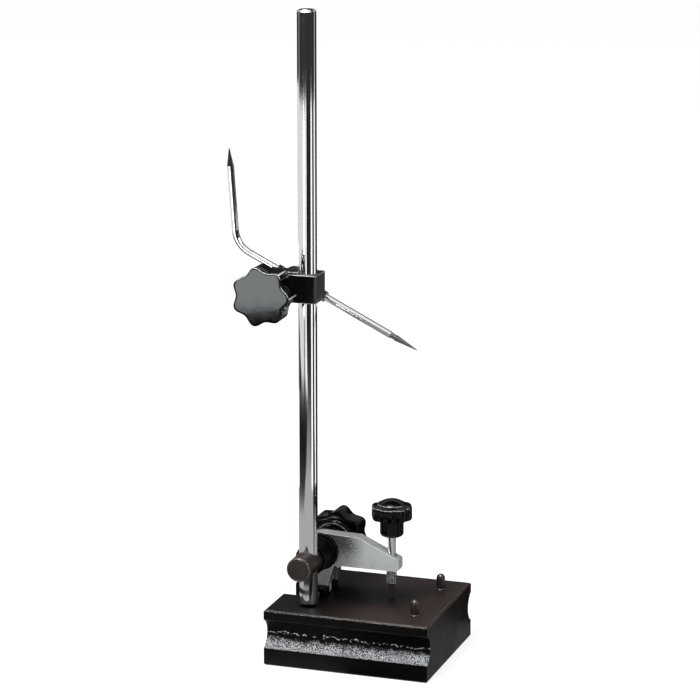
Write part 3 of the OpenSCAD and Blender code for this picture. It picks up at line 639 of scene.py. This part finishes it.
# %% Adjusting knob
DRUM_TIP, DRUM_VALLEY, DRUM_LOBES, DRUM_SHARE = 10.45, 9.35, 8, 0.3
DRUM_HIGH, DRUM_ROUND, DRUM_STEPS = 15.9, 0.8, 5
HUB_R, HUB_FLUTE, HUB_END_R = 6.1, 0.4, 4.7
HUB_HEIGHTS = [(0.25, 0.9), (1.3, 0), (8.2, 0), (8.6, -0.4)]
DRUM_UNDERSIDE = [(8.8, 1.1), (9.1, 0.35), (9.9, 0)]
TOP_RING = [(7.5, 16.5), (7.2, 16.6)]
DOME_R, DOME_LOW, DOME_TOP = 7.0, 16.95, 19.3
DOME_SHARES = (0.86, 0.7, 0.5, 0.3, 0.14)
screw_x = middle("screw_bush").x / MM
screw_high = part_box("adjusting_screw")[1] / MM
knob_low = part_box("adjusting_knob")[0].z / MM
screw_bore_r = screw_high.x - screw_x + BORE_GAP
screw_bore_deep = screw_high.z - knob_low + BORE_GAP


def adjusting_rows():
    """Rows of the fine screw's knob from its bore to the middle of its dome."""
    drum = lobed(DRUM_VALLEY, DRUM_TIP, DRUM_LOBES, DRUM_SHARE)
    hub = lobed(HUB_R - HUB_FLUTE, HUB_R, DRUM_LOBES, DRUM_SHARE)
    rows = [[Vector((0, 0, screw_bore_deep))], circle(screw_bore_r, screw_bore_deep)]
    rows += [circle(screw_bore_r, 0), circle(HUB_END_R, 0)]
    rows += [ring(hub, up, inset) for up, inset in HUB_HEIGHTS]
    rows += [ring(drum, up, inset) for up, inset in DRUM_UNDERSIDE]
    for step in range(DRUM_STEPS + 1):
        turn = math.radians(90 * step / DRUM_STEPS)
        sunk = DRUM_ROUND * (1 - math.sin(turn))
        rows.append(ring(drum, DRUM_HIGH - sunk, DRUM_ROUND * (1 - math.cos(turn))))
    rows += [circle(radius, up) for radius, up in TOP_RING]
    rows.append(circle(DOME_R, DOME_LOW))
    for share in DOME_SHARES:
        rows.append(circle(DOME_R * share, DOME_LOW + (DOME_TOP - DOME_LOW) * (1 - share ** 2)))
    rows.append([Vector((0, 0, DOME_TOP))])
    return rows


skinned("adjusting_drum_knob", adjusting_rows(), lambda x, y, z: Vector((screw_x + x, y, knob_low + z)),
        plastic, "lift_screw", "adjusting_knob")

# %% [markdown]
# The bush under the arm is threaded on the outside. A thread is only a radius that falls and rises
# once for each pitch, and that starts a little higher at each step round the axis. So the rows stay
# level, and the groove climbs across them.

# %% Threaded bush
PITCH, THREAD_DEEP, THREAD_SHARE, LEAD_IN = 0.8, 0.14, 1.3, 0.1
BUSH_COLUMNS, BUSH_ROW, BUSH_END = 64, 0.1, 0.2
thread_steel = Finish("thread_steel", metallic=0.95)
grime = thread_steel.noise(0.8, detail=3.0)
grimed = thread_steel.between(grime, 0.5, 0.62)
thread_steel.set("colour", thread_steel.mix(grimed, screen(205, 208, 208), screen(96, 97, 96)))
thread_steel.set("roughness", thread_steel.between(grime, 0.3, 0.7, 0.16, 0.3))
thread_steel.bump(grime, 0.01)
bush_low, bush_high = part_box("screw_bush")
bush_r = (bush_high.x - bush_low.x) / (2 * MM)


def thread_point(angle, height):
    turns = (height / PITCH - angle / (2 * math.pi)) % 1.0
    radius = bush_r - THREAD_DEEP * (1 - abs(2 * turns - 1)) ** THREAD_SHARE
    return Vector((radius * math.cos(angle), radius * math.sin(angle), height))


def bush_rows():
    """Rows of the bush from its bore, over its lower end and up the thread, back to the bore."""
    bottom, top = bush_low.z / MM, bush_high.z / MM
    rows = [circle(screw_bore_r, top, BUSH_COLUMNS), circle(screw_bore_r, bottom, BUSH_COLUMNS),
            circle(bush_r - THREAD_DEEP - LEAD_IN, bottom, BUSH_COLUMNS)]
    threaded = top - bottom - BUSH_END
    steps = round(threaded / BUSH_ROW)
    for i in range(steps + 1):
        height = bottom + BUSH_END + threaded * i / steps
        rows.append([thread_point(2 * math.pi * k / BUSH_COLUMNS, height) for k in range(BUSH_COLUMNS)])
    rows.append(circle(screw_bore_r, top, BUSH_COLUMNS))
    return rows


skinned("threaded_bush", bush_rows(), lambda x, y, z: Vector((screw_x + x, y, z)), thread_steel, "rocker",
        "screw_bush")

# %% [markdown]
# The return spring sits in the slot under the foot's tail. It is wound from wire, with its end turns closed
# so that they sit flat. It is made on no body, and its place is baked into its mesh.

# %% Return spring
SPRING_TURNS, WIRE_R, END_PITCH = 6, 0.4, 0.85
TURN_STEPS, WIRE_COLUMNS = 28, 12
spring_low, spring_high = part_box("return_spring")
spring_x = (spring_low.x + spring_high.x) / 2


def coil_rows():
    """Rings of the wire along the coil, with a single point at each end of it."""
    coil_r = (spring_high.x - spring_low.x) / (2 * MM) - WIRE_R
    low, travel = spring_low.z / MM + WIRE_R, (spring_high.z - spring_low.z) / MM - 2 * WIRE_R
    middle_pitch = (travel - 2 * END_PITCH) / (SPRING_TURNS - 2)
    last = SPRING_TURNS * TURN_STEPS
    rows = []
    for i in range(last + 1):
        turn = i / TURN_STEPS
        climb = min(turn, 1) * END_PITCH + min(max(turn - 1, 0), SPRING_TURNS - 2) * middle_pitch
        climb += max(turn - SPRING_TURNS + 1, 0) * END_PITCH
        out = Vector((math.cos(2 * math.pi * turn), math.sin(2 * math.pi * turn), 0))
        spot = out * coil_r + Vector((0, 0, low + climb))
        angles = [2 * math.pi * k / WIRE_COLUMNS for k in range(WIRE_COLUMNS)]
        wire = [spot + out * (WIRE_R * math.cos(a)) + Vector((0, 0, WIRE_R * math.sin(a))) for a in angles]
        if i == 0:
            rows.append([spot])
        rows.append(wire)
        if i == last:
            rows.append([spot])
    return rows


spring = skinned("wound_spring", coil_rows(), lambda x, y, z: Vector((spring_x / MM + x, y, z)), bright, None,
                 "return_spring")
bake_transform(spring)

# %% [markdown]
# The camera stands where the photographer stood: in front, a little to the right and above, with a
# long lens. Its place was worked out from the edges of the base and the foot and top of the spindle.

# %% Camera
LENS_MM, SENSOR_MM = 153.96, 36.0
CAMERA_PLACE, CAMERA_PITCH, CAMERA_HEADING = (0.45574, -1.37619, 0.50979), 76.35, 18.70
camera_data = bpy.data.cameras.new("camera")
camera_data.lens = LENS_MM
camera_data.sensor_width = SENSOR_MM
camera = bpy.data.objects.new("camera", camera_data)
camera.location = CAMERA_PLACE
camera.rotation_euler = (math.radians(CAMERA_PITCH), 0.0, math.radians(CAMERA_HEADING))
bpy.context.scene.collection.objects.link(camera)
bpy.context.scene.camera = camera
print("camera", tuple(round(v, 3) for v in camera.location))

# %% [markdown]
# The sweep under a product photograph is white and plain. A floor lit until it looks white would
# also throw its light up at the gauge and wash it out. So the camera and every mirror see the floor
# as glowing white paper that still takes the gauge's soft shadow, and all other light meets a plain
# pale floor. The world does the same around it.

# %% Floor and world
FLOOR_HALF, FLOOR_DROP = 5.0, 0.2 * MM
PAPER_GLOW, PAPER_SHADE, SKY_LEVEL = 0.80, 0.36, 0.45


def seen_directly(net):
    """1 for rays that show the studio to the camera, straight, in a mirror or through glass."""
    path = net.add("ShaderNodeLightPath").outputs
    mirrored = net.calc("MAXIMUM", path["Is Camera Ray"], path["Is Glossy Ray"])
    return net.calc("MAXIMUM", mirrored, path["Is Transmission Ray"])


def flat_piece(name, corners, material):
    mesh = bpy.data.meshes.new(name)
    mesh.from_pydata(corners, [], [tuple(range(len(corners)))])
    mesh.materials.append(material)
    obj = bpy.data.objects.new(name, mesh)
    bpy.context.scene.collection.objects.link(obj)


paper = Finish("studio_floor", metallic=0.0, roughness=0.9, specular=0.0, colour=(0.93, 0.93, 0.93, 1))
glow = paper.add("ShaderNodeEmission")
glow.inputs["Strength"].default_value = PAPER_GLOW
shade = paper.add("ShaderNodeBsdfDiffuse")
shade.inputs["Color"].default_value = (PAPER_SHADE, PAPER_SHADE, PAPER_SHADE, 1)
both = paper.add("ShaderNodeAddShader")
paper.feed(both.inputs[0], glow.outputs[0])
paper.feed(both.inputs[1], shade.outputs[0])
choice = paper.add("ShaderNodeMixShader")
paper.feed(choice.inputs[0], seen_directly(paper))
paper.feed(choice.inputs[1], paper.shader.outputs[0])
paper.feed(choice.inputs[2], both.outputs[0])
paper.show(choice.outputs[0])
corners = [(-1, -1), (1, -1), (1, 1), (-1, 1)]
flat_piece("floor", [(x * FLOOR_HALF, y * FLOOR_HALF, -FLOOR_DROP) for x, y in corners], paper.material)

world = bpy.data.worlds.new("studio")
bpy.context.scene.world = world
world.use_nodes = True
sky = Nodes(world.node_tree)
backdrop = world.node_tree.nodes["Background"].inputs
backdrop["Color"].default_value = (1, 1, 1, 1)
sky.feed(backdrop["Strength"], sky.between(seen_directly(sky), 0.0, 1.0, SKY_LEVEL, 1.0))
print("floor and sky, with a sky level of", SKY_LEVEL)

# %% [markdown]
# Two soft boxes light the gauge: one high on the left as the key, and a larger, weaker one on the
# right, so that the shadows stay open. They are area lamps, because a point lamp would draw hard
# shadow edges on the paper.

# %% Soft boxes
AIM = (0.0, 0.0, 0.12)


def soft_box(name, place, size, watts):
    data = bpy.data.lights.new(name, "AREA")
    data.shape = "RECTANGLE"
    data.size, data.size_y = size
    data.energy = watts
    lamp = bpy.data.objects.new(name, data)
    lamp.location = place
    lamp.rotation_euler = (Vector(AIM) - Vector(place)).to_track_quat("-Z", "Y").to_euler()
    lamp.visible_camera = False
    bpy.context.scene.collection.objects.link(lamp)
    print(name, "of", watts, "W at", place)


soft_box("key", (-0.35, -0.75, 1.65), (0.5, 0.5), 24)
soft_box("fill", (1.4, -0.7, 1.1), (0.7, 0.7), 6)

# %% [markdown]
# A polished bar has no look of its own: a photographer gives it dark lines with black flags. Here
# the flags are cards that lie round the gauge, and only reflections can see them. Painting the lines
# on the bar would be easier, but they would turn with it and look wrong from every other side.

# %% Cards that only reflections see
CARD_LIFT = 0.3 * MM


def glowing(name):
    """Material that glows in the greys painted on a card's corners."""
    card = Finish(name)
    lit = card.add("ShaderNodeEmission")
    card.feed(lit.inputs["Color"], card.add("ShaderNodeVertexColor", layer_name="grey").outputs["Color"])
    card.show(lit.outputs[0])
    return card.material


card_paint = glowing("card_paint")


def mirror_card(name, rows, tint=(1, 1, 1)):
    """Card over rows of (point, grey) that only reflections can see."""
    wide = len(rows[0])
    mesh = bpy.data.meshes.new(name)
    faces = [(r * wide + i, r * wide + i + 1, (r + 1) * wide + i + 1, (r + 1) * wide + i)
             for r in range(len(rows) - 1) for i in range(wide - 1)]
    mesh.from_pydata([point for row in rows for point, grey in row], [], faces)
    paint = mesh.color_attributes.new("grey", "FLOAT_COLOR", "POINT")
    for spot, grey in zip(paint.data, (grey for row in rows for point, grey in row)):
        spot.color = (*(grey * share for share in tint), 1)
    mesh.materials.append(card_paint)
    card = bpy.data.objects.new(name, mesh)
    bpy.context.scene.collection.objects.link(card)
    card.visible_camera = False
    card.visible_diffuse = False
    card.visible_transmission = False
    card.visible_shadow = False


print("card material:", card_paint.name)

# %% [markdown]
# For an upright bar the sum is simple. A spot on the bar at height h mirrors the floor about four
# times h away, and the bearing follows from how far the spot is from the bar's middle line. So a
# dark ring near the gauge is a dark mark low on the bar, and a dark sector is a line all the way up.
# Each card is named after the part of the reflection that it makes. A later card lies a hair higher
# than the one before it and hides what is under it.

# %% Cards on the floor
ARC_STEPS = 24
centre = middle("spindle")
camera_bearing = math.degrees(math.atan2(camera.location.y - centre.y, camera.location.x - centre.x))


def around(radius, bearing, height):
    """Point at a distance from the spindle, on a bearing in degrees."""
    b = math.radians(bearing)
    return (centre.x + radius * math.cos(b), centre.y + radius * math.sin(b), height)


def floor_card(name, layer, rings):
    """Card on the floor. Each ring gives a radius, two bearings to the right of the camera and a grey."""
    rows = []
    for radius, start, stop, grey in rings:
        bearings = [camera_bearing + start + (stop - start) * i / ARC_STEPS for i in range(ARC_STEPS + 1)]
        rows.append([(around(radius, bearing, CARD_LIFT * layer), grey) for bearing in bearings])
    mirror_card("card_" + name, rows)


CARDS = {
    "left_light": [(0.55, -180, -18, 0.76), (3.2, -180, -18, 0.76)],
    "near": [(0.03, -180, 180, 0.41), (0.29, -180, 180, 0.41), (0.315, -180, 180, 0.45)],
    "near_shade": [(0.03, 7, 56, 0.002), (0.16, 7, 56, 0.002)],
    "near_dark": [(0.123, -60, 30, 0.02), (0.16, -60, 30, 0.02)],
    "near_gap": [(0.107, -138, 118, 0.01), (0.1165, -138, 118, 0.01)],
    "near_rim": [(0.05, -180, -139, 0.01), (0.17, -180, -139, 0.01)],
    "left_dark": [(0.250, -128, -40, 0.41), (0.275, -128, -38, 0.20), (0.295, -128, -32, 0.10),
                  (0.320, -128, -24, 0.04), (0.370, -128, -15, 0.02), (0.400, -128, -10, 0.012),
                  (0.450, -128, -6, 0.012), (0.500, -128, -3, 0.03), (0.530, -128, -8, 0.08),
                  (0.560, -128, -18, 0.30), (0.585, -128, -24, 0.60)],
    "left_edge": [(0.54, -130, -78, 0.02), (0.60, -130, -84, 0.02), (0.66, -130, -98, 0.02),
                  (0.72, -134, -108, 0.05), (0.78, -138, -118, 0.30), (0.82, -140, -124, 0.76)],
    "middle": [(0.260, -58, 42, 0.41), (0.325, -34, 42, 0.40), (0.370, -20, 40, 0.30), (0.394, -16, 38, 0.27),
               (0.442, -10, 36, 0.21), (0.494, -4, 36, 0.145), (0.547, -4, 36, 0.07), (0.603, -8, 38, 0.045),
               (0.663, -10, 40, 0.03), (0.730, -12, 42, 0.012), (3.200, -6, 43, 0.012)],
    "middle_edge": [(0.36, 31, 43, 0.20), (0.394, 31, 43, 0.06), (0.73, 31, 43, 0.02)],
    "middle_thread": [(0.70, 15, 20, 0.05), (3.20, 15, 20, 0.05)],
    "right_line": [(0.14, 66, 82, 0.15), (0.22, 64, 84, 0.12), (0.27, 62, 92, 0.02), (0.38, 62, 92, 0.02),
                   (0.45, 62, 86, 0.01), (3.20, 62, 86, 0.01)],
    "right_rim": [(0.10, 110, 150, 0.01), (3.20, 109, 150, 0.01)],
    "back_rim": [(0.10, 150, 180, 0.02), (3.20, 150, 180, 0.02)],
}
for layer, (name, rings) in enumerate(CARDS.items(), 1):
    floor_card(name, layer, rings)
print(len(CARDS), "floor cards, camera bearing", round(camera_bearing, 1))

# %% [markdown]
# The front of the clamp's star knob is nearly flat, so all of it mirrors one small stretch of floor
# in front of the gauge. A strong card there lifts the face to the slate grey that the photograph
# shows. Its near strip is black, so that the lower part of the face falls dark, and the slant of the
# edge between the two follows the light across the face.

# %% Bright card for the star knob's face
KICKER_LEVEL, KICKER_TINT = 9.5, (0.94, 1.0, 1.0)
KICKER_ROWS = ((0.48, 0.0), (0.73, 0.0), (0.775, KICKER_LEVEL), (1.60, KICKER_LEVEL))
KICKER_ASIDE, KICKER_SLANT = 4.6, 0.007
kicker_lift = CARD_LIFT * (len(CARDS) + 1)
face_x, face_y = middle("clamp_knob").x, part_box("clamp_knob")[0].y
mirror_bearing = -math.atan2(camera.location.x - face_x, face_y - camera.location.y) - math.pi / 2
kicker_rows = []
for far, grey in KICKER_ROWS:
    row = []
    for aside in (-KICKER_ASIDE, 0, KICKER_ASIDE):
        b = mirror_bearing + math.radians(aside)
        away = far * (1 + KICKER_SLANT * aside)
        row.append(((face_x + away * math.cos(b), face_y + away * math.sin(b), kicker_lift), grey))
    kicker_rows.append(row)
mirror_card("card_knob_face", kicker_rows, KICKER_TINT)
print("knob face mirrors the floor at", round(math.degrees(mirror_bearing), 1), "degrees")

# %% [markdown]
# Upright faces and the tops of the lobes mirror what stands and hangs around the gauge. A dark wall
# behind, pale only high up, and a low dark card in front keep them black. The ceiling is pale in
# front and dark behind, and one bright card overhead gives the top edges a clear highlight.

# %% Wall, front card and ceiling
CEILING_HIGH, CEILING_HALF = 2.1, 2.6
CEILING_ROWS = ((-2.0, 0.85), (0.5, 0.85), (0.6, 0.04), (2.6, 0.04))
OVERHEAD_HIGH, OVERHEAD_WIDE, OVERHEAD_ROWS = 2.08, (-1.0, 0.3), ((-1.0, 13.0), (0.1, 13.0))
WALL_R, WALL_REACH = 1.9, 75
WALL_ROWS = ((0.01, 0.03), (0.76, 0.03), (0.86, 0.35), (CEILING_HIGH, 0.45))
FRONT_R, FRONT_REACH, FRONT_ROWS = 1.2, 100, ((0.10, 0.03), (0.62, 0.03))
BEARING_STEP = 10


def standing_card(name, bearing, radius, reach, levels):
    """Upright card around the spindle, with a grey for each height."""
    asides = range(-reach, reach + 1, BEARING_STEP)
    mirror_card(name, [[(around(radius, bearing + aside, height), grey) for aside in asides]
                       for height, grey in levels])


def ceiling_card(name, height, wide, levels):
    """Level card overhead, with a grey for each distance to the back."""
    mirror_card(name, [[((x, y, height), grey) for x in wide] for y, grey in levels])


standing_card("card_behind", camera_bearing + 180, WALL_R, WALL_REACH, WALL_ROWS)
standing_card("card_front", camera_bearing, FRONT_R, FRONT_REACH, FRONT_ROWS)
ceiling_card("card_above", CEILING_HIGH, (-CEILING_HALF, CEILING_HALF), CEILING_ROWS)
ceiling_card("card_overhead", OVERHEAD_HIGH, OVERHEAD_WIDE, OVERHEAD_ROWS)
print("wall at", WALL_R, "m, ceiling at", CEILING_HIGH, "m")

# %% [markdown]
# The picture is written without a film look, so that a colour shows as it was chosen. The finer
# shapes must not make it any larger.

# %% Colour settings
bpy.context.scene.view_settings.view_transform = "Standard"
